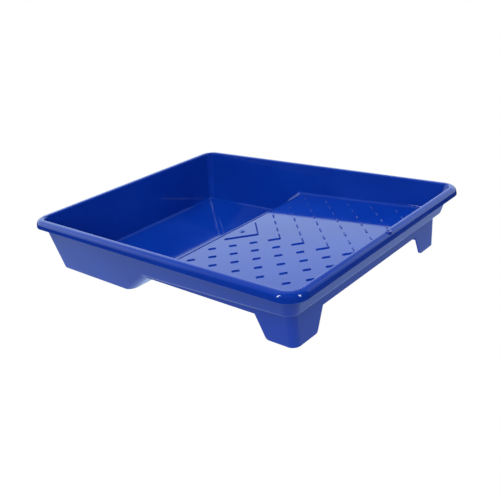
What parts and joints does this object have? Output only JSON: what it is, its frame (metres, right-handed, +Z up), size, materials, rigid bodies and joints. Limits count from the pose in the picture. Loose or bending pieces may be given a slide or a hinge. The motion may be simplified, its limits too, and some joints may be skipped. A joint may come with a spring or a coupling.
{
  "type": "paint roller tray",
  "caption": "Moulded paint roller tray: a deep well slopes up to a ribbed ramp, inside a turned-down rim, on corner legs.",
  "frame": {"origin": "on the standing surface, under the middle of the rim's outline", "axes": "+X along the length towards the shallow end, +Y to the left side seen from the deep end, +Z up"},
  "size_m": [0.3848, 0.2978, 0.0662],
  "materials": {
    "tray_plastic": "glossy moulded polypropylene"
  },
  "bodies": {
    "root": {"rim_rail_deep": "tray_plastic", "rim_rail_shallow": "tray_plastic", "rim_rail_left": "tray_plastic", "rim_rail_right": "tray_plastic", "end_wall_deep": "tray_plastic", "end_wall_shallow": "tray_plastic", "well_wall_left": "tray_plastic", "well_wall_right": "tray_plastic", "ramp_wall_left": "tray_plastic", "ramp_wall_right": "tray_plastic", "well_floor": "tray_plastic", "step_slope": "tray_plastic", "ramp_panel": "tray_plastic", "chevron_row_1": "tray_plastic", "chevron_row_2": "tray_plastic", "chevron_row_3": "tray_plastic", "chevron_row_4": "tray_plastic", "chevron_row_5": "tray_plastic", "chevron_row_6": "tray_plastic", "chevron_row_7": "tray_plastic", "chevron_row_8": "tray_plastic", "skirt_left": "tray_plastic", "skirt_right": "tray_plastic", "skirt_shallow": "tray_plastic", "leg_left": "tray_plastic", "leg_right": "tray_plastic"}
  },
  "joints": []
}
